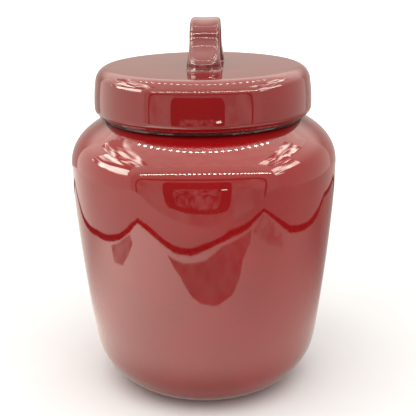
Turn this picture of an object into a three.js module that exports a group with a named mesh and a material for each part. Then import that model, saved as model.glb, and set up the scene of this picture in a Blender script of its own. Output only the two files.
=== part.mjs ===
// Lidded ceramic jar: a thrown-looking body, a flat cap lid with a strap handle, and the lid's seal ring.
// Millimetres, +Z up. The origin is the middle of the foot, on the surface that the jar stands on.
// The strap handle runs along X.

import * as THREE from 'three';

// Driving dimensions of the body
const WIDEST_RADIUS = 82.5;
const WIDEST_HEIGHT = 144.3;
const WALL = 5.6;
const FLOOR_TOP = 9;
const FOOT_OUTER_RADIUS = 48.6;
const FOOT_INNER_RADIUS = 43;
const FOOT_CHAMFER = 1.5;
const FOOT_RECESS = 1.8;

// Places on the body's outside where its curve changes pace
const HEEL = { radius: 64.8, height: 13.8 };
const LOW_SIDE = { radius: 73.7, height: 43 };
const MID_SIDE = { radius: 80.2, height: 102.1 };
const HIGH_SIDE = { radius: 81.9, height: 124.5 };
const SHOULDER = { radius: 68.4, height: 167.4 };

// Collar that stands up inside the lid, and the dry seat that the lid rests on
const COLLAR_OUTER_RADIUS = 56.5;
const COLLAR_BORE_RADIUS = 51.5;
const COLLAR_TOP = 187;
const COLLAR_ROOT = 168;
const COLLAR_LIP = 2.5;
const SEAT_HEIGHT = 173.1;
const SEAT_OUTER_RADIUS = 60.2;

// Lid
const REST_GAP = 0.3;
const LID_BOTTOM = SEAT_HEIGHT + REST_GAP;
const LID_TOP = 203.2;
const LID_FLAT_RADIUS = 57.3;
const LID_LIP = { radius: 66.85, height: 179.4 };
const LID_EDGE = { radius: 65.5, height: 195.8 };
const LID_PLATE = 6;
const SKIRT_BORE_RADIUS = 58.5;
const FLANGE_OUTER_RADIUS = 48.5;
const FLANGE_INNER_RADIUS = 44;
const FLANGE_BOTTOM = 172;

// Seal ring in the groove round the lid's flange
const GROOVE_RADIUS = 46.3;
const GROOVE_LOW = 174;
const GROOVE_HIGH = 183;
const SEAL_FIN_RADIUS = COLLAR_BORE_RADIUS - REST_GAP;
const SEAL_WEB_RADIUS = 48.9;
const SEAL_FINS = 3;

// Strap handle
const STRAP_WIDTH = 17.9;
const STRAP_EDGE_ROUNDING = 0.8;
const FOOT_PAD_FLARE = 0.15;
const FOOT_PAD_REACH = 14;
const HANDLE_HALF_SPAN = 30;
const HANDLE_RISE = 28;
const ARCH_RISE = 21.8;
const ARCH_HALF_SPAN = 12;
const HANDLE_OFFSET = 2.2;

// Facets
const TURNS = 48;
const BEND_STEPS = 4;
const BEND_PULL = 0.38;

// A direction from an angle in degrees: 0 is straight up, 90 is outwards.
function heading(degrees) {
  const angle = THREE.MathUtils.degToRad(degrees);
  return new THREE.Vector2(Math.sin(angle), Math.cos(angle));
}

// Carries a path on to the point (x, y), leaving and arriving along two headings.
function bend(path, leave, x, y, arrive) {
  const start = path.currentPoint.clone();
  const end = new THREE.Vector2(x, y);
  const reach = start.distanceTo(end) * BEND_PULL;
  const first = heading(leave).multiplyScalar(reach).add(start);
  const second = end.clone().sub(heading(arrive).multiplyScalar(reach));
  path.bezierCurveTo(first.x, first.y, second.x, second.y, x, y);
}

// Turns a half section (x is the radius, y the height) round the Z axis.
function turned(name, path, material) {
  const geometry = new THREE.LatheGeometry(path.getPoints(BEND_STEPS), TURNS);
  geometry.rotateX(Math.PI / 2);
  const mesh = new THREE.Mesh(geometry, material);
  mesh.name = name;
  return mesh;
}

function glazedStoneware() {
  return new THREE.MeshStandardMaterial({ color: '#8a1a1c', roughness: 0.08, metalness: 0 });
}

function siliconeRubber() {
  return new THREE.MeshStandardMaterial({ color: '#dcd9d2', roughness: 0.55, metalness: 0 });
}

// The outside runs from the foot up to the seat, then over the collar and down the inside.
function jarBody() {
  const path = new THREE.Path();
  path.moveTo(0, FOOT_RECESS);
  path.lineTo(FOOT_INNER_RADIUS - 1, FOOT_RECESS);
  path.lineTo(FOOT_INNER_RADIUS, 0);
  path.lineTo(FOOT_OUTER_RADIUS, 0);
  path.lineTo(FOOT_OUTER_RADIUS + FOOT_CHAMFER, FOOT_CHAMFER);
  bend(path, 70.2, HEEL.radius, HEEL.height, 38);
  bend(path, 38, LOW_SIDE.radius, LOW_SIDE.height, 7.3);
  bend(path, 7.3, MID_SIDE.radius, MID_SIDE.height, 4.9);
  bend(path, 4.9, HIGH_SIDE.radius, HIGH_SIDE.height, 3.5);
  bend(path, 3.5, WIDEST_RADIUS, WIDEST_HEIGHT, 0);
  bend(path, 0, SHOULDER.radius, SHOULDER.height, -57);
  bend(path, -57, SEAT_OUTER_RADIUS, SEAT_HEIGHT, -53);
  path.lineTo(COLLAR_OUTER_RADIUS, SEAT_HEIGHT);
  path.lineTo(COLLAR_OUTER_RADIUS, COLLAR_TOP - COLLAR_LIP);
  bend(path, 0, (COLLAR_OUTER_RADIUS + COLLAR_BORE_RADIUS) / 2, COLLAR_TOP, -90);
  bend(path, -90, COLLAR_BORE_RADIUS, COLLAR_TOP - COLLAR_LIP, -180);
  path.lineTo(COLLAR_BORE_RADIUS, COLLAR_ROOT);
  bend(path, -180, SHOULDER.radius - 4.4, SHOULDER.height - 6.5, -245);
  bend(path, -245, WIDEST_RADIUS - WALL, WIDEST_HEIGHT - 4.3, -180);
  bend(path, -180, MID_SIDE.radius - WALL, MID_SIDE.height, -175.1);
  bend(path, -175.1, LOW_SIDE.radius - WALL, LOW_SIDE.height, -172.7);
  bend(path, -172.7, FOOT_INNER_RADIUS + 3, FLOOR_TOP, -90);
  path.lineTo(0, FLOOR_TOP);
  return turned('jar_body', path, glazedStoneware());
}

// The lid's outside is a flat top, a rounded edge and a side that swells a little to a rounded lip.
function lid() {
  const ceiling = LID_TOP - LID_PLATE;
  const path = new THREE.Path();
  path.moveTo(0, ceiling);
  path.lineTo(FLANGE_INNER_RADIUS, ceiling);
  path.lineTo(FLANGE_INNER_RADIUS, FLANGE_BOTTOM);
  path.lineTo(FLANGE_OUTER_RADIUS, FLANGE_BOTTOM);
  path.lineTo(FLANGE_OUTER_RADIUS, GROOVE_LOW);
  path.lineTo(GROOVE_RADIUS, GROOVE_LOW);
  path.lineTo(GROOVE_RADIUS, GROOVE_HIGH);
  path.lineTo(FLANGE_OUTER_RADIUS, GROOVE_HIGH);
  path.lineTo(FLANGE_OUTER_RADIUS, ceiling);
  path.lineTo(SKIRT_BORE_RADIUS, ceiling);
  path.lineTo(SKIRT_BORE_RADIUS, LID_BOTTOM);
  path.lineTo(SEAT_OUTER_RADIUS, LID_BOTTOM);
  bend(path, 88, LID_LIP.radius, LID_LIP.height, 0);
  bend(path, 0, LID_EDGE.radius, LID_EDGE.height, -8.6);
  bend(path, -8.6, LID_FLAT_RADIUS, LID_TOP, -90);
  path.lineTo(0, LID_TOP);
  return turned('lid', path, glazedStoneware());
}

// A ring with a flat back in the groove and thin fins that wipe the collar's bore.
function lidSeal() {
  const back = GROOVE_RADIUS + REST_GAP;
  const low = GROOVE_LOW + REST_GAP;
  const high = GROOVE_HIGH - REST_GAP;
  const pitch = (high - low) / SEAL_FINS;
  const path = new THREE.Path();
  path.moveTo(back, low);
  for (let fin = 0; fin < SEAL_FINS; fin += 1) {
    const root = low + fin * pitch;
    path.lineTo(SEAL_WEB_RADIUS, root);
    path.lineTo(SEAL_FIN_RADIUS, root + 0.55 * pitch);
    path.lineTo(SEAL_FIN_RADIUS - 0.2, root + 0.8 * pitch);
    path.lineTo(SEAL_WEB_RADIUS, root + 0.75 * pitch);
  }
  path.lineTo(SEAL_WEB_RADIUS, high);
  path.lineTo(back, high);
  path.lineTo(back, low);
  return turned('lid_seal', path, siliconeRubber());
}

// Half of the strap's upper line, from the toe of a foot pad to the crown.
function strapTop() {
  const path = new THREE.Path();
  path.moveTo(HANDLE_HALF_SPAN, 0);
  bend(path, -2, HANDLE_HALF_SPAN - 0.6, 3.4, -10);
  bend(path, -10, HANDLE_HALF_SPAN - 3.6, 7.3, -56);
  bend(path, -56, 14.4, 18.9, -7);
  bend(path, -7, 0, HANDLE_RISE, -90);
  return path.getPoints(BEND_STEPS);
}

// Half of the line under the arch, from its crown to the inner edge of a foot pad.
function strapUnderside() {
  const path = new THREE.Path();
  path.moveTo(0, ARCH_RISE);
  bend(path, 90, 9.1, 12, 179);
  bend(path, 179, ARCH_HALF_SPAN, 0, 160);
  return path.getPoints(BEND_STEPS);
}

function mirrored(points) {
  return points.map((point) => new THREE.Vector2(-point.x, point.y)).reverse();
}

// Widens the strap towards its feet, which were pressed out where they meet the lid.
function flareFeet(geometry) {
  const position = geometry.getAttribute('position');
  for (let i = 0; i < position.count; i += 1) {
    const low = Math.max(0, 1 - position.getZ(i) / FOOT_PAD_REACH);
    position.setY(i, position.getY(i) * (1 + FOOT_PAD_FLARE * low * low));
  }
}

function lidHandle() {
  const top = strapTop();
  const underside = strapUnderside();
  const over = top.concat(mirrored(top).slice(1));
  const under = mirrored(underside).concat(underside.slice(1));
  const geometry = new THREE.ExtrudeGeometry(new THREE.Shape(over.concat(under)), {
    depth: STRAP_WIDTH - 2 * STRAP_EDGE_ROUNDING,
    bevelThickness: STRAP_EDGE_ROUNDING,
    bevelSize: STRAP_EDGE_ROUNDING,
    bevelOffset: -STRAP_EDGE_ROUNDING,
    bevelSegments: 2,
  });
  geometry.translate(0, 0, STRAP_EDGE_ROUNDING - STRAP_WIDTH / 2);
  geometry.rotateX(Math.PI / 2);
  flareFeet(geometry);
  const mesh = new THREE.Mesh(geometry, glazedStoneware());
  mesh.name = 'lid_handle';
  mesh.position.set(0, HANDLE_OFFSET, LID_TOP + REST_GAP);
  return mesh;
}

const jar = new THREE.Group();
jar.add(jarBody());
jar.add(lidSeal());
jar.add(lid());
jar.add(lidHandle());

export default jar;
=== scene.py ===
# %% [markdown]
# # Ginger jar: the looks
# A round glazed stoneware jar, its flat lid with a strap handle, and a silicone sealing ring.
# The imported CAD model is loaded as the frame: it says where every piece stands and how it moves.
# Each cell below makes one real piece or one real surface of the jar, over its CAD node.

import math

import bmesh
import bpy
from mathutils import Matrix, Vector
from mathutils.geometry import interpolate_bezier


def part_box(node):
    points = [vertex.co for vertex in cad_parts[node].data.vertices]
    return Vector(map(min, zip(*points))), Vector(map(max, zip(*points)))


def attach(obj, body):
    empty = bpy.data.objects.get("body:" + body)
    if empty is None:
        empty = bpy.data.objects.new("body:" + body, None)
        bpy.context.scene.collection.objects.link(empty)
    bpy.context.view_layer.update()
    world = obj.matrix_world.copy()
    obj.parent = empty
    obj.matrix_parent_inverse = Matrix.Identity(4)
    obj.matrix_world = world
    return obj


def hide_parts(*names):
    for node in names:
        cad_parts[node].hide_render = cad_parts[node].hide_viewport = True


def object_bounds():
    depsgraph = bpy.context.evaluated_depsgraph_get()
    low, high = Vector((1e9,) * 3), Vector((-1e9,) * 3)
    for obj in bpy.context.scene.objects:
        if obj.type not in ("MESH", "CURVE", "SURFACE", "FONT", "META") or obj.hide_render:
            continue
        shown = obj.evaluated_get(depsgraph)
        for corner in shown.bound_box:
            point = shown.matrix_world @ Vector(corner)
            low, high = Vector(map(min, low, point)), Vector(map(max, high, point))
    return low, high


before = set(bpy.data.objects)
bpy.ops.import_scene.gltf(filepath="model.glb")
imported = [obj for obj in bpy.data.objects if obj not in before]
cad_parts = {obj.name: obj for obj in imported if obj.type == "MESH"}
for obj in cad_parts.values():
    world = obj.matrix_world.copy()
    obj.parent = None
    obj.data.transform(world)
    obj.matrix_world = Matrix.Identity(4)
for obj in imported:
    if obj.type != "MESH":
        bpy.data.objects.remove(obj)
frame_low, frame_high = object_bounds()
MM = 0.001
print("frame, mm:", [round(1000 * side) for side in frame_high - frame_low])


# %% [markdown]
# ## Measuring from the frame
# Radii and heights that a caliper would find on the CAD are read from its boxes, so that the
# finished pieces stay in register with the model if it is resized.

# %% Caliper readings
def caliper(node):
    """(radius, lowest height, highest height) of a round CAD node, in metres."""
    low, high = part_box(node)
    return (high.x - low.x) / 2, low.z, high.z


JAR_RADIUS, JAR_FOOT, COLLAR_TOP = caliper("jar_body")
LID_RADIUS, FLANGE_BOTTOM, LID_TOP = caliper("lid")
SEAL_RADIUS, SEAL_LOW, SEAL_HIGH = caliper("lid_seal")
handle_low, handle_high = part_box("lid_handle")
HANDLE_HALF_SPAN = (handle_high.x - handle_low.x) / 2
HANDLE_CROWN = handle_high.z
HANDLE_CENTRE_Y = (handle_high.y + handle_low.y) / 2
print("jar radius", round(JAR_RADIUS / MM, 1), "lid radius", round(LID_RADIUS / MM, 1), "mm")


# %% [markdown]
# ## Shared ways of making
# The jar and lid are thrown or slip-cast round a wheel axis, so one function turns an outline.
# An outline is a list of straight runs and bends. A bend is one cubic curve that leaves and
# arrives at given headings (0 is upwards, 90 is outwards), as a potter's rib would leave it.

# %% Outlines
BEND_STEPS = 14
BEND_PULL = 0.38


def line(path, *corners):
    """Goes on to each corner in a straight run, with two close points to keep its edge crisp."""
    for corner in corners:
        start = Vector(path[-1])
        end = Vector(corner)
        run = (end - start).length
        if run > 1.0 * MM:
            path.append(tuple(start.lerp(end, 0.25 * MM / run)))
            path.append(tuple(end.lerp(start, 0.25 * MM / run)))
        path.append(tuple(corner))


def bend(path, leave, across, up, arrive):
    """Goes on to (across, up) in one smooth curve with these two headings, in degrees."""
    start = Vector(path[-1]).to_3d()
    end = Vector((across, up)).to_3d()
    pull = BEND_PULL * (end - start).length
    leaving = math.radians(leave)
    arriving = math.radians(arrive)
    first_handle = start + pull * Vector((math.sin(leaving), math.cos(leaving), 0))
    last_handle = end - pull * Vector((math.sin(arriving), math.cos(arriving), 0))
    curve = interpolate_bezier(start, first_handle, last_handle, end, BEND_STEPS + 1)
    path.extend((point.x, point.y) for point in curve[1:])


def round_corners(path, radius):
    """Softens every sharp corner of an outline with an arc-like cut, as glaze and sponging do."""
    soft = [path[0]]
    for before, here, after in zip(path, path[1:], path[2:]):
        a, b, c = Vector(before), Vector(here), Vector(after)
        turn = (b - a).angle(c - b, 0.0)
        cut = min(radius, 0.45 * (b - a).length, 0.45 * (c - b).length)
        if turn < math.radians(25):
            soft.append(here)
            continue
        start = b.lerp(a, cut / (b - a).length)
        end = b.lerp(c, cut / (c - b).length)
        for step in range(5):
            t = step / 4
            soft.append(tuple((1 - t) ** 2 * start + 2 * t * (1 - t) * b + t * t * end))
    soft.append(path[-1])
    return soft


# %% [markdown]
# Glaze melts in the kiln and runs: it draws thin over outward edges and pools in hollows.
# Each turned piece therefore carries a pooling value on its points, worked out from how
# sharply the outline turns there. The same value also carries painted shade: it is raised round
# the jar's seat and on the handle, where the glaze is painted darker as shade. The glaze
# material reads it for its colour.

# %% Turning on the wheel
WHEEL_STEPS = 192


def pooling_along(path):
    """For each point of an outline, minus on outward edges and plus in hollows, from -1 to 1."""
    values = [0.0]
    for before, here, after in zip(path, path[1:], path[2:]):
        a, b, c = Vector(before), Vector(here), Vector(after)
        reach = max((b - a).length + (c - b).length, 0.2 * MM)
        turn = (c - b).angle_signed(b - a, 0.0)
        values.append(max(-1.0, min(1.0, turn / reach * 2.5 * MM)))
    values.append(0.0)
    smooth = values[:]
    for index in range(1, len(values) - 1):
        smooth[index] = (values[index - 1] + 2 * values[index] + values[index + 1]) / 4
    return smooth


def finish_mesh(name, bm, materials):
    """Closes seams, turns faces outward, smooths the shading and makes the piece's object."""
    bmesh.ops.remove_doubles(bm, verts=bm.verts, dist=1e-6)
    bmesh.ops.recalc_face_normals(bm, faces=bm.faces)
    for face in bm.faces:
        face.smooth = True
    mesh = bpy.data.meshes.new(name)
    bm.to_mesh(mesh)
    bm.free()
    for material in materials:
        mesh.materials.append(material)
    piece = bpy.data.objects.new(name, mesh)
    bpy.context.scene.collection.objects.link(piece)
    return piece


def turn_on_wheel(name, path, materials, closed=False, bare=None, painted_shade=None):
    """Turns an outline of (radius, height) once round the upright axis."""
    bm = bmesh.new()
    pooling_and_shade = bm.verts.layers.float.new("pooling_and_shade")
    ring = [bm.verts.new((radius, 0, height)) for radius, height in path]
    # a painted shade, where given, raises the pooling value so that the glaze is painted darker there
    for vert, value in zip(ring, pooling_along(path)):
        vert[pooling_and_shade] = max(value, painted_shade(vert.co.x, vert.co.z)) if painted_shade else value
    edges = [bm.edges.new(pair) for pair in zip(ring, ring[1:])]
    if closed:
        edges.append(bm.edges.new((ring[-1], ring[0])))
    bmesh.ops.spin(
        bm,
        geom=ring + edges,
        cent=(0, 0, 0),
        axis=(0, 0, 1),
        angle=math.tau,
        steps=WHEEL_STEPS,
        use_merge=True,
    )
    bmesh.ops.remove_doubles(bm, verts=bm.verts, dist=1e-6)
    if bare:
        for face in bm.faces:
            if bare(face.calc_center_median()):
                face.material_index = 1
    piece = finish_mesh(name, bm, materials)
    print(name, len(piece.data.polygons), "faces")
    return piece


# %% [markdown]
# ## Materials
# Colours are written as they look (sRGB hex) and made linear in one place.
# One small helper adds every kind of shader node.

# %% Material helpers
def linear(hex_colour):
    """An sRGB hex colour as linear red, green, blue and alpha."""
    parts = [int(hex_colour[i : i + 2], 16) / 255 for i in (0, 2, 4)]
    return [p / 12.92 if p <= 0.04045 else ((p + 0.055) / 1.055) ** 2.4 for p in parts] + [1.0]


def add(tree, kind, inputs=None, **settings):
    """Adds one node. Inputs go by name or number and are values or other nodes' outputs."""
    node = tree.nodes.new("ShaderNode" + kind)
    for key, value in settings.items():
        setattr(node, key, value)
    for key, value in (inputs or {}).items():
        if isinstance(value, bpy.types.NodeSocket):
            tree.links.new(value, node.inputs[key])
        else:
            node.inputs[key].default_value = value
    return node


def new_material(name):
    """An empty material with its output node: (material, tree, output)."""
    material = bpy.data.materials.new(name)
    material.use_nodes = True
    tree = material.node_tree
    tree.nodes.clear()
    return material, tree, add(tree, "OutputMaterial")


def grain(tree, size_mm, detail=2.0, roughness=0.5):
    """Noise whose lumps are about size_mm across on the real piece."""
    place = add(tree, "TexCoord").outputs["Object"]
    inputs = {"Vector": place, "Scale": 1 / (size_mm * MM), "Detail": detail, "Roughness": roughness}
    return add(tree, "TexNoise", inputs).outputs["Fac"]


def between(tree, value, low, high, to_low, to_high):
    """Maps a value's range low..high onto to_low..to_high, held at both ends."""
    inputs = {"Value": value, "From Min": low, "From Max": high, "To Min": to_low, "To Max": to_high}
    return add(tree, "MapRange", inputs, interpolation_type="SMOOTHSTEP").outputs["Result"]


def blend_colour(tree, amount, first, second):
    """Mixes two colours by amount."""
    inputs = {0: amount, 6: first, 7: second}
    return add(tree, "Mix", inputs, data_type="RGBA").outputs[2]


# %% [markdown]
# ### Red glaze
# The jar is dipped in a deep red gloss glaze and fired. What the eye reads: a saturated red
# depth with almost no green or blue, a glass-clear mirror on top that shows the whole studio,
# and tiny ripples that make those reflections swim. Where the glaze ran thin on an edge it is
# a little browner and paler, and in the hollows it is darker. The lid was dipped and fired
# apart from the jar, and its thicker coat is a shade deeper.

# %% Red glaze
GLAZE_THIN = linear("97241C")
# dark red of pooled glaze, which also paints the shade where the pooling value carries it
GLAZE_POOLED_AND_SHADE = linear("4A0206")


def make_red_glaze(name, red):
    material, tree, output = new_material(name)
    slow = grain(tree, 38, 3.0)
    fine = grain(tree, 2.2, 2.0)
    pooling_and_shade = add(tree, "Attribute", attribute_name="pooling_and_shade").outputs["Fac"]
    # slow cloudiness of a dipped coat, a few centimetres across
    clouds = between(tree, slow, 0.35, 0.7, 0.0, 0.16)
    colour = blend_colour(tree, clouds, red, GLAZE_POOLED_AND_SHADE)
    # thin on edges, darker in hollows, and painted shade where the pooling value carries it
    colour = blend_colour(tree, between(tree, pooling_and_shade, -0.1, -0.8, 0.0, 0.55), colour, GLAZE_THIN)
    colour = blend_colour(tree, between(tree, pooling_and_shade, 0.1, 0.9, 0.0, 0.85), colour, GLAZE_POOLED_AND_SHADE)
    # pinholes and iron specks, a fifth of a millimetre wide and rare
    specks = between(tree, grain(tree, 1.1, 0.0), 0.78, 0.83, 0.0, 0.5)
    colour = blend_colour(tree, specks, colour, GLAZE_POOLED_AND_SHADE)
    # the melt levels out, but not wholly: ripples 16 mm apart and a fainter 5 mm texture
    swell = add(tree, "Math", {0: grain(tree, 16, 1.0), 1: 0.045 * MM}, operation="MULTIPLY")
    peel = add(tree, "Math", {0: grain(tree, 5, 1.0), 1: 0.007 * MM}, operation="MULTIPLY")
    height = add(tree, "Math", {0: swell.outputs[0], 1: peel.outputs[0]}, operation="ADD")
    ripple = add(tree, "Bump", {"Height": height.outputs[0], "Distance": 1.0, "Strength": 1.0})
    gloss = between(tree, fine, 0.3, 0.75, 0.035, 0.06)
    shader = add(
        tree,
        "BsdfPrincipled",
        {"Base Color": colour, "Roughness": gloss, "IOR": 1.5, "Normal": ripple.outputs[0]},
    )
    tree.links.new(shader.outputs[0], output.inputs["Surface"])
    return material


# %% [markdown]
# ### Bare stoneware
# The potter wipes the glaze off the foot ring, so that the jar doesn't stick to the kiln shelf,
# and off the lid's seat. The fired clay there is a matt buff with fine darker grog.

# %% Bare stoneware
CLAY_BUFF = linear("C9B79C")
CLAY_GROG = linear("8E7658")


def make_bare_clay():
    material, tree, output = new_material("bare stoneware, sponged and fired")
    tone = blend_colour(tree, between(tree, grain(tree, 9, 3.0), 0.3, 0.7, 0, 0.35), CLAY_BUFF, CLAY_GROG)
    grog = between(tree, grain(tree, 0.7, 1.0), 0.62, 0.7, 0.0, 0.8)
    colour = blend_colour(tree, grog, tone, CLAY_GROG)
    rough = add(tree, "Math", {0: grain(tree, 0.5, 2.0), 1: 0.06 * MM}, operation="MULTIPLY")
    tooth = add(tree, "Bump", {"Height": rough.outputs[0], "Distance": 1.0, "Strength": 0.8})
    shader = add(
        tree,
        "BsdfPrincipled",
        {"Base Color": colour, "Roughness": 0.85, "Normal": tooth.outputs[0]},
    )
    tree.links.new(shader.outputs[0], output.inputs["Surface"])
    return material


# %% [markdown]
# ### Silicone
# The seal is moulded from milky silicone: light goes a little way in, the surface is satin,
# and a trace of dust keeps it from shining evenly.

# %% Silicone
SILICONE_MILK = linear("E4E1D8")
SILICONE_DUST = linear("CFC9BB")


def make_silicone():
    material, tree, output = new_material("milky silicone, moulded")
    dust = between(tree, grain(tree, 6, 3.0), 0.4, 0.7, 0.0, 0.6)
    colour = blend_colour(tree, dust, SILICONE_MILK, SILICONE_DUST)
    satin = between(tree, grain(tree, 3, 2.0), 0.3, 0.7, 0.38, 0.52)
    skin = add(tree, "Math", {0: grain(tree, 0.8, 1.0), 1: 0.01 * MM}, operation="MULTIPLY")
    bump = add(tree, "Bump", {"Height": skin.outputs[0], "Distance": 1.0, "Strength": 0.6})
    shader = add(
        tree,
        "BsdfPrincipled",
        {
            "Base Color": colour,
            "Roughness": satin,
            "IOR": 1.41,
            "Subsurface Weight": 0.35,
            "Subsurface Scale": 2 * MM,
            "Normal": bump.outputs[0],
        },
    )
    tree.links.new(shader.outputs[0], output.inputs["Surface"])
    return material


red_glaze = make_red_glaze("red gloss glaze, dipped and fired", linear("870A0E"))
lid_glaze = make_red_glaze("red gloss glaze, a thicker dip on the lid", linear("7A080C"))
bare_clay = make_bare_clay()
silicone = make_silicone()
print("materials:", red_glaze.name, "|", bare_clay.name, "|", silicone.name)


# %% [markdown]
# ## Jar body
# The pot that holds the ginger. It could be thrown, but the even wall says slip-cast: slip is
# poured in a plaster mould and drained. The side swells slowly up to a high shoulder, which
# rolls over to the seat, and a collar inside the seat centres the lid. The wall is 5.6 mm thick.
# A fine groove is trimmed just under the seat and helps to make the dark line below the lid.

# %% Jar body
WALL = 5.6 * MM
FLOOR_TOP = 9 * MM
FOOT_INNER = 43 * MM
FOOT_OUTER = FOOT_INNER + 5.6 * MM
FOOT_CHAMFER = 1.5 * MM
FOOT_RECESS = JAR_FOOT + 1.8 * MM
WIDEST_HEIGHT = 144.3 * MM
COLLAR_OUTER = 56.5 * MM
COLLAR_BORE = 51.5 * MM
COLLAR_ROOT = 168 * MM
COLLAR_LIP = 2.5 * MM
SEAT_HEIGHT = COLLAR_TOP - 13.9 * MM
SEAT_OUTER = 60 * MM
GROOVE_FLOOR = SEAT_HEIGHT - 1 * MM
JAR_SOFTENING = 0.9 * MM
# where the painted shade round the seat ends, and how fast it fades out
SEAT_SHADE_RADIUS = 64 * MM
SEAT_SHADE_FADE = 3 * MM

# places on the outside where its curve changes pace, as (radius, height)
HEEL = (64.8 * MM, 13.8 * MM)
LOW_SIDE = (73.7 * MM, 43 * MM)
MID_SIDE = (80.2 * MM, 102.1 * MM)
HIGH_SIDE = (81.9 * MM, 124.5 * MM)
SHOULDER = (68.4 * MM, 167.4 * MM)
NECK = (61.4 * MM, 172.3 * MM)


def jar_outline():
    """From the middle of the base, out and up the outside, over the rim and down inside."""
    path = [(0, FOOT_RECESS)]
    line(path, (FOOT_INNER - 1 * MM, FOOT_RECESS), (FOOT_INNER, JAR_FOOT))
    line(path, (FOOT_OUTER, JAR_FOOT))
    line(path, (FOOT_OUTER + FOOT_CHAMFER - 0.1 * MM, FOOT_CHAMFER))
    bend(path, 70.2, *HEEL, 38)
    bend(path, 38, *LOW_SIDE, 7.3)
    bend(path, 7.3, *MID_SIDE, 4.9)
    bend(path, 4.9, *HIGH_SIDE, 3.5)
    bend(path, 3.5, JAR_RADIUS, WIDEST_HEIGHT, 0)
    bend(path, 0, *SHOULDER, -57)
    bend(path, -57, *NECK, -52)
    line(path, (SEAT_OUTER, GROOVE_FLOOR), (SEAT_OUTER, SEAT_HEIGHT), (COLLAR_OUTER, SEAT_HEIGHT))
    line(path, (COLLAR_OUTER, COLLAR_TOP - COLLAR_LIP))
    bend(path, 0, (COLLAR_OUTER + COLLAR_BORE) / 2, COLLAR_TOP, -90)
    bend(path, -90, COLLAR_BORE, COLLAR_TOP - COLLAR_LIP, -180)
    line(path, (COLLAR_BORE, COLLAR_ROOT))
    bend(path, -180, SHOULDER[0] - 4.4 * MM, SHOULDER[1] - 6.9 * MM, -245)
    bend(path, -245, JAR_RADIUS - WALL, WIDEST_HEIGHT - 4.3 * MM, -180)
    bend(path, -180, MID_SIDE[0] - WALL, MID_SIDE[1], -175.7)
    bend(path, -175.7, LOW_SIDE[0] - WALL, LOW_SIDE[1], -172.7)
    bend(path, -172.7, FOOT_INNER + 3 * MM, FLOOR_TOP, -90)
    line(path, (0, FLOOR_TOP))
    return round_corners(path, JAR_SOFTENING)


def wiped_bare(centre):
    """The foot ring's standing face, where the glaze was wiped off."""
    radius = math.hypot(centre.x, centre.y)
    return centre.z < JAR_FOOT + 0.45 * MM and radius > FOOT_INNER - 1 * MM


def painted_shade_under_lid(radius, height):
    """Painted shade round the foot of the seat, under the lid's edge: the glaze there is painted darker."""
    if height < SHOULDER[1] - 7 * MM or radius < COLLAR_OUTER - 1 * MM:
        return 0.0
    return max(0.0, min(1.0, (SEAT_SHADE_RADIUS - radius) / SEAT_SHADE_FADE))


jar = turn_on_wheel(
    "glazed_jar",
    jar_outline(),
    [red_glaze, bare_clay],
    bare=wiped_bare,
    # painted shade: the glaze round the seat is darkened where the lid's edge shades it
    painted_shade=painted_shade_under_lid,
)
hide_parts("jar_body")
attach(jar, "jar")


# %% [markdown]
# ## Lid
# A flat press-moulded disc with a rolled top edge. Its deep side hangs round the collar and
# stands on the seat, and a second ring inside carries the seal. The bottom of the side is bare,
# since it stood on the kiln shelf.

# %% Lid
LID_REST = SEAT_HEIGHT + 0.3 * MM
LID_PLATE_UNDERSIDE = LID_TOP - 6 * MM
LID_FLAT = 57.3 * MM
LID_SOFTENING = 0.6 * MM
SKIRT_BORE = 58.5 * MM
SKIRT_OUTER = 60.4 * MM
FLANGE_INNER = 44 * MM
FLANGE_OUTER = 48.5 * MM
GROOVE_RADIUS = 46.3 * MM
GROOVE_LOW = 174 * MM
GROOVE_HIGH = 183 * MM


def lid_outline():
    """From the middle of the underside, round both rings, up the side and over the top."""
    path = [(0, LID_PLATE_UNDERSIDE)]
    line(path, (FLANGE_INNER, LID_PLATE_UNDERSIDE), (FLANGE_INNER, FLANGE_BOTTOM))
    line(path, (FLANGE_OUTER, FLANGE_BOTTOM), (FLANGE_OUTER, GROOVE_LOW))
    line(path, (GROOVE_RADIUS, GROOVE_LOW), (GROOVE_RADIUS, GROOVE_HIGH))
    line(path, (FLANGE_OUTER, GROOVE_HIGH), (FLANGE_OUTER, LID_PLATE_UNDERSIDE))
    line(path, (SKIRT_BORE, LID_PLATE_UNDERSIDE), (SKIRT_BORE, LID_REST), (SKIRT_OUTER, LID_REST))
    bend(path, 88, LID_RADIUS - 0.1 * MM, LID_REST + 6 * MM, 0)
    bend(path, 0, LID_RADIUS - 1.35 * MM, LID_TOP - 7.4 * MM, -8.6)
    bend(path, -8.6, LID_FLAT, LID_TOP, -90)
    line(path, (0, LID_TOP))
    return round_corners(path, LID_SOFTENING)


def stood_on_shelf(centre):
    """The bottom face of the lid's side."""
    radius = math.hypot(centre.x, centre.y)
    bare_inside = SKIRT_BORE + 0.1 * MM
    bare_outside = SKIRT_OUTER - 0.2 * MM
    return centre.z < LID_REST + 0.05 * MM and bare_inside < radius < bare_outside


lid = turn_on_wheel("glazed_lid", lid_outline(), [lid_glaze, bare_clay], bare=stood_on_shelf)
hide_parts("lid")
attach(lid, "lid")


# %% [markdown]
# ## Handle
# A strap of clay, pulled flat and looped, then luted to the lid with slip before glazing. Its
# feet spread into round toes, the glaze fills the joint with a small fillet, the edges are
# sponged round, and the crown sags a little across its width. Its glaze is painted a little
# darker all over, as painted shade, since it stands high in the light. The strap is laid out as
# stations along it: each joins a point on the outer face to one on the inner face, and carries a
# rounded, full-bellied section.

# %% Handle
STRAP_WIDTH = 17.9 * MM
STRAP_RISE = HANDLE_CROWN - LID_TOP
STRAP_THICKNESS = 6.2 * MM
STRAP_EDGE_RADIUS = 2.8 * MM
STRAP_BELLY = 1.3 * MM
TOE_BELLY = 2.2 * MM
FOOT_FLARE = 2.5 * MM
FOOT_REACH = 11 * MM
TOE_HEIGHT = 7.3 * MM
CROWN_DISH = 0.5 * MM
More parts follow.
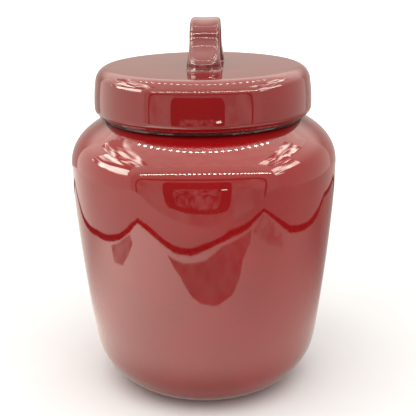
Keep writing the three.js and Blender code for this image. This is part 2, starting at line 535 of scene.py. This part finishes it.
# how much painted shade darkens the whole strap's glaze
STRAP_PAINTED_SHADE = 0.45
JOINT_FILLET = 0.8 * MM
SECTION_ARC_STEPS = 9
SECTION_FLAT_STEPS = 7
STATIONS_PER_SIDE = 64
STATION_CROWDING = 1.4


def half_strap():
    """Outer and inner outline of one half of the loop, from its foot to the crown."""
    crown_rise = STRAP_RISE + CROWN_DISH
    outer = [(HANDLE_HALF_SPAN, 0)]
    bend(outer, -2, HANDLE_HALF_SPAN - 0.6 * MM, 3.4 * MM, -10)
    bend(outer, -10, HANDLE_HALF_SPAN - 3.6 * MM, TOE_HEIGHT, -56)
    bend(outer, -56, 14.4 * MM, 18.9 * MM, -7)
    bend(outer, -7, 0, crown_rise, -90)
    inner = [(12 * MM, 0)]
    bend(inner, -20, 9.1 * MM, 12 * MM, -1)
    bend(inner, 0, 0, crown_rise - STRAP_THICKNESS, -90)
    return outer, inner


def resample(path, count):
    """The same outline with points along it that are closer together near its start."""
    points = [Vector(p) for p in path]
    lengths = [0.0]
    for a, b in zip(points, points[1:]):
        lengths.append(lengths[-1] + (b - a).length)
    even = []
    index = 0
    for step in range(count):
        goal = lengths[-1] * (step / (count - 1)) ** STATION_CROWDING
        while index < len(points) - 2 and lengths[index + 1] < goal:
            index += 1
        part = (goal - lengths[index]) / max(lengths[index + 1] - lengths[index], 1e-9)
        even.append(points[index].lerp(points[index + 1], min(part, 1.0)))
    return even


def ease(value):
    """Smooth step between 0 and 1."""
    value = max(0.0, min(1.0, value))
    return value * value * (3 - 2 * value)


def section_points(depth, width, outer_radius, inner_radius):
    """The section with the same number of points at every station, so that rings can be joined."""
    half = width / 2
    ring = []
    corners = (
        (depth - outer_radius, half - outer_radius, outer_radius, 0),
        (inner_radius, half - inner_radius, inner_radius, 90),
        (inner_radius, inner_radius - half, inner_radius, 180),
        (depth - outer_radius, outer_radius - half, outer_radius, 270),
    )
    for out, across, radius, start in corners:
        for step in range(SECTION_ARC_STEPS + 1):
            angle = math.radians(start + 90 * step / SECTION_ARC_STEPS)
            ring.append((out + radius * math.cos(angle), across + radius * math.sin(angle)))
    closed = ring + ring[:1]
    side = SECTION_ARC_STEPS + 1
    full = []
    for index, here in enumerate(ring):
        full.append(here)
        if index % side == side - 1:
            flat_start = Vector(here)
            flat_end = Vector(closed[index + 1])
            for part in range(1, SECTION_FLAT_STEPS):
                full.append(tuple(flat_start.lerp(flat_end, part / SECTION_FLAT_STEPS)))
    return full


def place_station(outer, inner):
    """The ring of points of one station of the strap, from its outer and inner point."""
    depth = (outer - inner).length
    level = (outer.y + inner.y) / 2
    foot = 1 - ease(level / FOOT_REACH)
    width = STRAP_WIDTH + FOOT_FLARE * foot
    toe_radius = STRAP_EDGE_RADIUS + (0.46 * width - STRAP_EDGE_RADIUS) * foot
    outer_radius = min(toe_radius, 0.49 * depth)
    inner_radius = min(STRAP_EDGE_RADIUS, 0.49 * depth)
    spread = 0.0
    if level < JOINT_FILLET:
        spread = JOINT_FILLET * (1 - math.sqrt(1 - (1 - level / JOINT_FILLET) ** 2))
    crown = ease((outer.y / STRAP_RISE - 0.8) / 0.2)
    middle = (outer + inner) / 2
    ring = []
    for out, across in section_points(depth, width, outer_radius, inner_radius):
        point = inner.lerp(outer, out / depth)
        away = Vector((point.x - middle.x, across))
        if away.length > 0:
            away = away.normalized() * spread
        middle_part = 1 - (2 * across / width) ** 2
        sag = CROWN_DISH * crown * middle_part
        fullness = STRAP_BELLY + (TOE_BELLY - STRAP_BELLY) * foot
        belly = fullness * (1 - crown) * (middle_part - 0.5) * (out / depth - 0.5) * 2
        point = point + (outer - inner).normalized() * belly
        side = HANDLE_CENTRE_Y + across + away.y
        ring.append(Vector((point.x + away.x, side, LID_TOP + point.y - sag)))
    return ring


def make_handle():
    outer, inner = half_strap()
    outer = resample(outer, STATIONS_PER_SIDE)
    inner = resample(inner, STATIONS_PER_SIDE)
    near = [place_station(a, b) for a, b in zip(outer, inner)]
    far = [[Vector((-p.x, p.y, p.z)) for p in ring] for ring in near[-2::-1]]
    bm = bmesh.new()
    pooling_and_shade = bm.verts.layers.float.new("pooling_and_shade")
    rows = [[bm.verts.new(point) for point in ring] for ring in near + far]
    # painted shade: the whole strap's glaze is painted a little darker than the lid's
    for vert in bm.verts:
        vert[pooling_and_shade] = STRAP_PAINTED_SHADE
    for row, after in zip(rows, rows[1:]):
        for index in range(len(row)):
            turn = (index + 1) % len(row)
            bm.faces.new((row[index], row[turn], after[turn], after[index]))
    bm.faces.new(rows[0])
    bm.faces.new(rows[-1])
    piece = finish_mesh("strap_handle", bm, [lid_glaze])
    print("strap handle", len(piece.data.polygons), "faces")
    return piece


handle = make_handle()
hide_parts("lid_handle")
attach(handle, "lid")


# %% [markdown]
# ## Seal
# A moulded ring that snaps into the lid's groove. Three thin fins wipe the bore of the collar,
# so that the jar shuts with a soft drag. The fins are rounded at their tips and the roots have
# small fillets, since the mould is cut with a round tool.

# %% Seal
SEAL_FINS = 3
FIN_ROOT = SEAL_RADIUS - 2.3 * MM
SEAL_BACK = GROOVE_RADIUS + 0.3 * MM


def seal_outline():
    """Round the ring's section: the fins from the bottom up, then the flat back."""
    pitch = (SEAL_HIGH - SEAL_LOW) / SEAL_FINS
    path = [(SEAL_BACK, SEAL_LOW)]
    line(path, (FIN_ROOT, SEAL_LOW))
    for fin in range(SEAL_FINS):
        root = SEAL_LOW + fin * pitch
        line(path, (FIN_ROOT, root + 0.25 * pitch))
        bend(path, 60, SEAL_RADIUS, root + 0.5 * pitch, 20)
        bend(path, -60, FIN_ROOT, root + 0.78 * pitch, -60)
    line(path, (FIN_ROOT, SEAL_HIGH), (SEAL_BACK, SEAL_HIGH))
    return round_corners(path, 0.25 * MM)


seal = turn_on_wheel("sealing_ring", seal_outline(), [silicone], closed=True)
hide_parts("lid_seal")
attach(seal, "seal")


# %% [markdown]
# ## Studio
# A pale floor and soft light from all round. A gloss glaze shows what stands around it, so a
# white light tent is built from cards that only reflections can see: walls, ceiling, a front
# flap with a dark camera window, the sheet the jar stands on, and two rows of small lamps.
# Tent places are (right, toward, up) as the camera sees them, in metres from the jar's foot.

# %% Which way the camera looks from
CAMERA_AZIMUTH = math.radians(94)
CAMERA_DISTANCE = 0.5514
CAMERA_HEIGHT = 0.2844
CAMERA_PITCH = math.radians(17.44)
CAMERA_ROLL = math.radians(-0.74)
CAMERA_LENS = 77.96
CAMERA_SHIFT = 0.0088
toward_axis = Vector((math.sin(CAMERA_AZIMUTH), -math.cos(CAMERA_AZIMUTH), 0))
right_axis = Vector((-toward_axis.y, toward_axis.x, 0))


def in_tent(right, toward, up):
    """A place in the tent as a point in the frame."""
    return right * right_axis + toward * toward_axis + Vector((0, 0, up))


# %% [markdown]
# ### Floor and general light
# The floor is matt paper that glows a little further out, as a lit sweep does. The sky and one
# wide lamp give the soft shading, and neither shows in the glaze as a shape.

# %% Floor, sky light and one soft lamp
SKY_HORIZON = 0.38
SKY_ZENITH = 1.15
LAMP_WATTS = 2.7


def make_floor():
    material, tree, output = new_material("pale floor, matt paper")
    tone = blend_colour(tree, grain(tree, 60, 2.0), linear("DAD9D8"), linear("DEDDDB"))
    # the paper curves up into the light farther out, so it is a little brighter there
    place = add(tree, "TexCoord").outputs["Object"]
    distance = add(tree, "VectorMath", {0: place}, operation="LENGTH").outputs["Value"]
    far_light = between(tree, distance, 0.16, 0.6, 0.0, 0.6)
    shader = add(
        tree,
        "BsdfPrincipled",
        {
            "Base Color": tone,
            "Roughness": 0.9,
            "Emission Color": linear("FFFFFF"),
            "Emission Strength": far_light,
        },
    )
    tree.links.new(shader.outputs[0], output.inputs["Surface"])
    bm = bmesh.new()
    bmesh.ops.create_grid(bm, x_segments=1, y_segments=1, size=12)
    floor = finish_mesh("floor", bm, [material])
    floor.location.z = frame_low.z - 0.2 * MM
    floor.visible_glossy = False
    return floor


def make_sky():
    """Soft light from everywhere, strongest overhead."""
    world = bpy.data.worlds.new("soft studio")
    bpy.context.scene.world = world
    world.use_nodes = True
    tree = world.node_tree
    tree.nodes.clear()
    direction = add(tree, "TexCoord").outputs["Generated"]
    up = add(tree, "SeparateXYZ", {0: direction}).outputs["Z"]
    strength = between(tree, up, -0.05, 0.9, SKY_HORIZON, SKY_ZENITH)
    background = add(tree, "Background", {"Color": linear("FFFFFF"), "Strength": strength})
    tree.links.new(background.outputs[0], add(tree, "OutputWorld").inputs["Surface"])


def make_soft_lamp():
    """A wide soft lamp overhead, a little to the front, that reflections can't see."""
    light = bpy.data.lights.new("overhead_soft_lamp", "AREA")
    light.shape = "RECTANGLE"
    light.size = 0.9
    light.size_y = 0.5
    light.energy = LAMP_WATTS
    lamp = bpy.data.objects.new("overhead_soft_lamp", light)
    lamp.location = in_tent(-0.04, 0.17, 0.6)
    aim = lamp.location - Vector((0, 0, 0.12))
    lamp.rotation_euler = aim.to_track_quat("Z", "Y").to_euler()
    lamp.visible_glossy = False
    lamp.visible_camera = False
    bpy.context.scene.collection.objects.link(lamp)
    return lamp


floor = make_floor()
make_sky()
make_soft_lamp()


# %% [markdown]
# ### The light tent
# Most of what the eye sees in a gloss glaze is its surroundings, so each card is lit cloth with
# its own brightness. The front flap hangs from a seam and has a dark window for the camera.

# %% Cards that only reflections see
CLOTH_WHITE = linear("FFFCEF")


def finish_glow(material, tree, output, strength):
    """Makes the material give off cloth-white light of this strength."""
    shader = add(tree, "Emission", {"Color": CLOTH_WHITE, "Strength": strength})
    tree.links.new(shader.outputs[0], output.inputs["Surface"])
    return material


def glow(name, brightness, vary=0.0, lump=90):
    """A plain lit card; vary adds unevenness in lumps of that many mm, as cloth has."""
    material, tree, output = new_material(name)
    strength = brightness
    if vary:
        dim = brightness * (1 - vary)
        bright = brightness * (1 + vary)
        strength = between(tree, grain(tree, lump, 3.0), 0.3, 0.7, dim, bright)
    return finish_glow(material, tree, output, strength)


def hide_but_reflect(shape):
    """Leaves a studio shape for reflections only."""
    shape.visible_camera = False
    shape.visible_diffuse = False
    shape.visible_shadow = False
    shape.visible_transmission = False
    return shape


def card(name, corners, material):
    """A flat card through corners given as tent places. Only reflections see it."""
    bm = bmesh.new()
    bm.faces.new([bm.verts.new(in_tent(*corner)) for corner in corners])
    return hide_but_reflect(finish_mesh(name, bm, [material]))


# the tent's walls, as distances from the jar in metres, and how far the cards reach
FRONT = 0.36
BACK = -0.55
SIDE = 0.62
CEILING = 0.62
LOW = -0.3
HIGH = 1.2
FAR = 2.0


def on_front(outline, gap=0.0):
    """A flat shape on the tent's front wall, from (right, up) points."""
    return [(right, FRONT - gap, up) for right, up in outline]


def at_level(outline, level):
    """A flat shape at one height, from (right, toward) points."""
    return [(right, toward, level) for right, toward in outline]


def rounded(left, right, low, high, radius):
    """A rounded rectangle as (across, up) points."""
    points = []
    corners = (
        (right - radius, high - radius, 0),
        (left + radius, high - radius, 90),
        (left + radius, low + radius, 180),
        (right - radius, low + radius, 270),
    )
    for across, up, start in corners:
        for step in range(9):
            angle = math.radians(start + 90 * step / 8)
            points.append((across + radius * math.cos(angle), up + radius * math.sin(angle)))
    return points


def rising_glow(name, low, high):
    """Cloth whose light grows from low at table height to high near the ceiling."""
    material, tree, output = new_material(name)
    place = add(tree, "TexCoord").outputs["Object"]
    up = add(tree, "SeparateXYZ", {0: place}).outputs["Z"]
    strength = between(tree, up, 0.30, 0.56, low, high)
    return finish_glow(material, tree, output, strength)


def wall(name, corners, low, high):
    """One side of the tent."""
    return card(name, corners, rising_glow(name + " cloth", low, high))


def upright(start, end):
    """Corners of a wall that stands over the line between two (right, toward) places."""
    return [(*start, LOW), (*end, LOW), (*end, HIGH), (*start, HIGH)]


BEHIND_FLAP = FRONT + 0.002
wall("front_wall", upright((-FAR, BEHIND_FLAP), (FAR, BEHIND_FLAP)), low=1.4, high=2.6)
wall("back_wall", upright((-FAR, BACK), (FAR, BACK)), low=0.7, high=2.4)
wall("left_wall", upright((-SIDE, -FAR), (-SIDE, FAR)), low=1.9, high=2.8)
wall("right_wall", upright((SIDE, -FAR), (SIDE, FAR)), low=1.25, high=2.4)
EVERYWHERE = [(-FAR, -FAR), (FAR, -FAR), (FAR, FAR), (-FAR, FAR)]
card("ceiling", at_level(EVERYWHERE, CEILING), glow("ceiling cloth", 2.9, 0.1))

flap_outline = on_front(rounded(-0.505, 0.415, -0.12, 0.282, 0.09), 0.001)
flap_cloth = on_front(rounded(-0.475, 0.385, -0.1, 0.252, 0.075), 0.002)
window = on_front(rounded(-0.21, 0.13, 0.022, 0.226, 0.032), 0.003)
window_inside = on_front(rounded(-0.15, 0.075, 0.035, 0.135, 0.03), 0.004)
window_lamp = on_front(rounded(0.075, 0.105, 0.118, 0.128, 0.004), 0.005)
card("flap_seam", flap_outline, glow("seam shade", 0.3))
card("flap", flap_cloth, glow("flap cloth", 1.3, 0.3, 140))
card("window", window, glow("dark window", 0.2))
card("window_inside", window_inside, glow("dim room", 0.7, 0.8, 25))
card("window_lamp", window_lamp, glow("far lamp", 18))

# %% [markdown]
# ### The sheet underfoot
# The jar stands on a white sheet that ends 0.3 m in front of it. The lower half of the body
# shows the sheet, its dark edge, a fold near the front and two shaded patches.
# Outlines are (right, toward) places in metres.

# %% The sheet underfoot
SHEET = [
    (-0.30, -0.40), (-0.285, -0.2), (-0.30, -0.05), (-0.285, 0.1), (-0.285, 0.215), (-0.24, 0.236),
    (-0.19, 0.248), (-0.11, 0.255), (-0.05, 0.268), (0.0, 0.284), (0.06, 0.295), (0.1, 0.30),
    (0.19, 0.286), (0.3, 0.282), (0.3, 0.1), (0.34, -0.1), (0.375, -0.2), (0.31, -0.40),
]


def make_floor_glow(name, near_foot, back, front, left_gain, right_gain):
    """Lit ground: dimmer close to the jar's foot and behind it, with its own left and right gain."""
    material, tree, output = new_material(name)
    place = add(tree, "TexCoord").outputs["Object"]
    distance = add(tree, "VectorMath", {0: place}, operation="LENGTH").outputs["Value"]
    forward = add(tree, "VectorMath", {0: place, 1: toward_axis}, operation="DOT_PRODUCT")
    rightward = add(tree, "VectorMath", {0: place, 1: right_axis}, operation="DOT_PRODUCT")
    foot_part = between(tree, distance, 0.045, 0.125, near_foot, 1.0)
    front_part = between(tree, forward.outputs["Value"], -0.12, 0.12, back, front)
    side_part = between(tree, rightward.outputs["Value"], -0.3, 0.3, left_gain, right_gain)
    strength = add(tree, "Math", {0: foot_part, 1: front_part}, operation="MULTIPLY").outputs[0]
    strength = add(tree, "Math", {0: strength, 1: side_part}, operation="MULTIPLY").outputs[0]
    return finish_glow(material, tree, output, strength)


def grow(outline, by):
    """The outline moved outward from the middle."""
    return [(right * by, toward * by) for right, toward in outline]


FOLD = [
    (-0.13, 0.239), (-0.075, 0.222), (-0.04, 0.200), (-0.01, 0.189), (0.03, 0.185), (0.07, 0.190),
    (0.1, 0.205), (0.125, 0.230), (0.17, 0.245), (0.2, 0.275), (0.13, 0.283), (0.07, 0.286), (0.0, 0.262),
]
CORNER_SHADE = [(0.2, 0.265), (0.22, 0.19), (0.25, 0.12), (0.28, 0.14), (0.29, 0.2), (0.285, 0.275)]
LEFT_SHADE = [(-0.28, 0.045), (-0.245, 0.05), (-0.23, 0.09), (-0.24, 0.13), (-0.25, 0.155), (-0.28, 0.155)]
SHADES_LEVEL = -1.5 * MM
SHEET_LEVEL = -2 * MM
EDGE_LEVEL = -3 * MM
GROUND_LEVEL = -4 * MM
ground_cloth = make_floor_glow(
    "ground cloth",
    near_foot=1.0,
    back=1.1,
    front=1.4,
    left_gain=1.5,
    right_gain=0.75,
)
sheet_cloth = make_floor_glow(
    "white sheet",
    near_foot=0.14,
    back=0.75,
    front=2.7,
    left_gain=1.6,
    right_gain=0.6,
)
card("ground", at_level(EVERYWHERE, GROUND_LEVEL), ground_cloth)
card("sheet_edge", at_level(grow(SHEET, 1.075), EDGE_LEVEL), glow("sheet edge shade", 0.06))
card("sheet", at_level(SHEET, SHEET_LEVEL), sheet_cloth)
card("fold", at_level(FOLD, SHADES_LEVEL), glow("fold shade", 0.9, 0.25, 40))
card("corner_shade", at_level(CORNER_SHADE, SHADES_LEVEL), glow("corner shade", 1.3, 0.3, 40))
card("left_shade", at_level(LEFT_SHADE, SHADES_LEVEL), glow("left shade", 1.5, 0.3, 30))

# %% [markdown]
# ### Rows of small lamps
# Two strips of small lamps run across the tent, one along its front and one under its ceiling
# that bends back at both ends. They give the dotted lines on the shoulder and the lid's edge.

# %% Rows of small lamps
LAMP_PITCH = 25 * MM
LAMP_LONG = 13 * MM
LAMP_TALL = 11 * MM
LAMP_BRIGHTNESS = 60


def lamp_row(name, left, right, toward, up, sag=0.0):
    """Small lamps across the tent, all in one mesh. The row's ends lie back by sag."""
    count = int((right - left) / LAMP_PITCH)
    bm = bmesh.new()
    for index in range(count):
        share = index / (count - 1)
        off_middle = 2 * share - 1
        centre = in_tent(left + share * (right - left), toward - sag * off_middle**2, up)
        facing = (centre - Vector((0, 0, 0.15))).to_track_quat("Z", "Y").to_matrix().to_4x4()
        shape = Matrix.Diagonal((LAMP_LONG, LAMP_TALL, 1, 1))
        spot = Matrix.Translation(centre) @ facing @ shape
        bmesh.ops.create_grid(bm, x_segments=1, y_segments=1, size=0.5, matrix=spot)
    return hide_but_reflect(finish_mesh(name, bm, [glow(name + " glow", LAMP_BRIGHTNESS)]))


lamp_row("front_lamps", left=-0.46, right=0.52, toward=FRONT - 0.01, up=0.372)
lamp_row("top_lamps", left=-0.27, right=0.27, toward=0.06, up=CEILING - 0.02, sag=0.2)


# %% [markdown]
# ### Crumpled cloth at both sides
# The tent's side cloth is creased and lit from behind, and its creases show on the shoulder as
# bright fans of streaks.

# %% Bright crumpled cloth at both sides
def crumpled_glow(name, brightness, lump):
    """Cloth lit from behind: long bright streaks on a dimmer ground."""
    material, tree, output = new_material(name)
    place = add(tree, "TexCoord").outputs["Object"]
    stretch = add(tree, "Mapping", {"Vector": place, "Rotation": (0, 0.6, 0), "Scale": (0.4, 1, 1.7)})
    inputs = {"Vector": stretch.outputs[0], "Scale": 1 / (lump * MM), "Detail": 1.0, "Distortion": 1.2}
    streak = add(tree, "TexNoise", inputs).outputs["Fac"]
    strength = between(tree, streak, 0.42, 0.72, 1.2, brightness)
    return finish_glow(material, tree, output, strength)


near_left = -0.98 * SIDE
near_right = 0.98 * SIDE
card(
    "left_glow",
    [(near_left, -0.22, 0.30), (near_left, 0.30, 0.27), (near_left, 0.26, 0.58), (near_left, -0.18, 0.60)],
    crumpled_glow("left lit cloth", 18, 190),
)
card(
    "left_top_glow",
    [(-0.61, -0.44, 0.60), (-0.28, -0.36, 0.60), (-0.38, 0.24, 0.60), (-0.61, 0.28, 0.60)],
    crumpled_glow("left top lit cloth", 16, 110),
)
card(
    "right_top_glow",
    [(0.61, -0.30, 0.60), (0.36, -0.24, 0.60), (0.38, 0.26, 0.60), (0.61, 0.30, 0.60)],
    crumpled_glow("right top lit cloth", 16, 80),
)
card(
    "right_glow",
    [(near_right, 0.0, 0.34), (near_right, 0.36, 0.30), (near_right, 0.36, 0.50), (near_right, 0.02, 0.56)],
    crumpled_glow("right lit cloth", 20, 130),
)

# %% [markdown]
# ## Camera
# A short telephoto, a little above the lid, as for a catalogue picture.

# %% Camera
scene = bpy.context.scene
scene.view_settings.view_transform = "Standard"
lens = bpy.data.cameras.new("camera")
lens.lens = CAMERA_LENS
lens.sensor_width = 36
lens.shift_x = CAMERA_SHIFT
camera = bpy.data.objects.new("camera", lens)
scene.collection.objects.link(camera)
camera.matrix_world = (
    Matrix.Translation(in_tent(0, CAMERA_DISTANCE, CAMERA_HEIGHT))
    @ Matrix.Rotation(CAMERA_AZIMUTH, 4, "Z")
    @ Matrix.Rotation(math.pi / 2 - CAMERA_PITCH, 4, "X")
    @ Matrix.Rotation(CAMERA_ROLL, 4, "Z")
)
scene.camera = camera
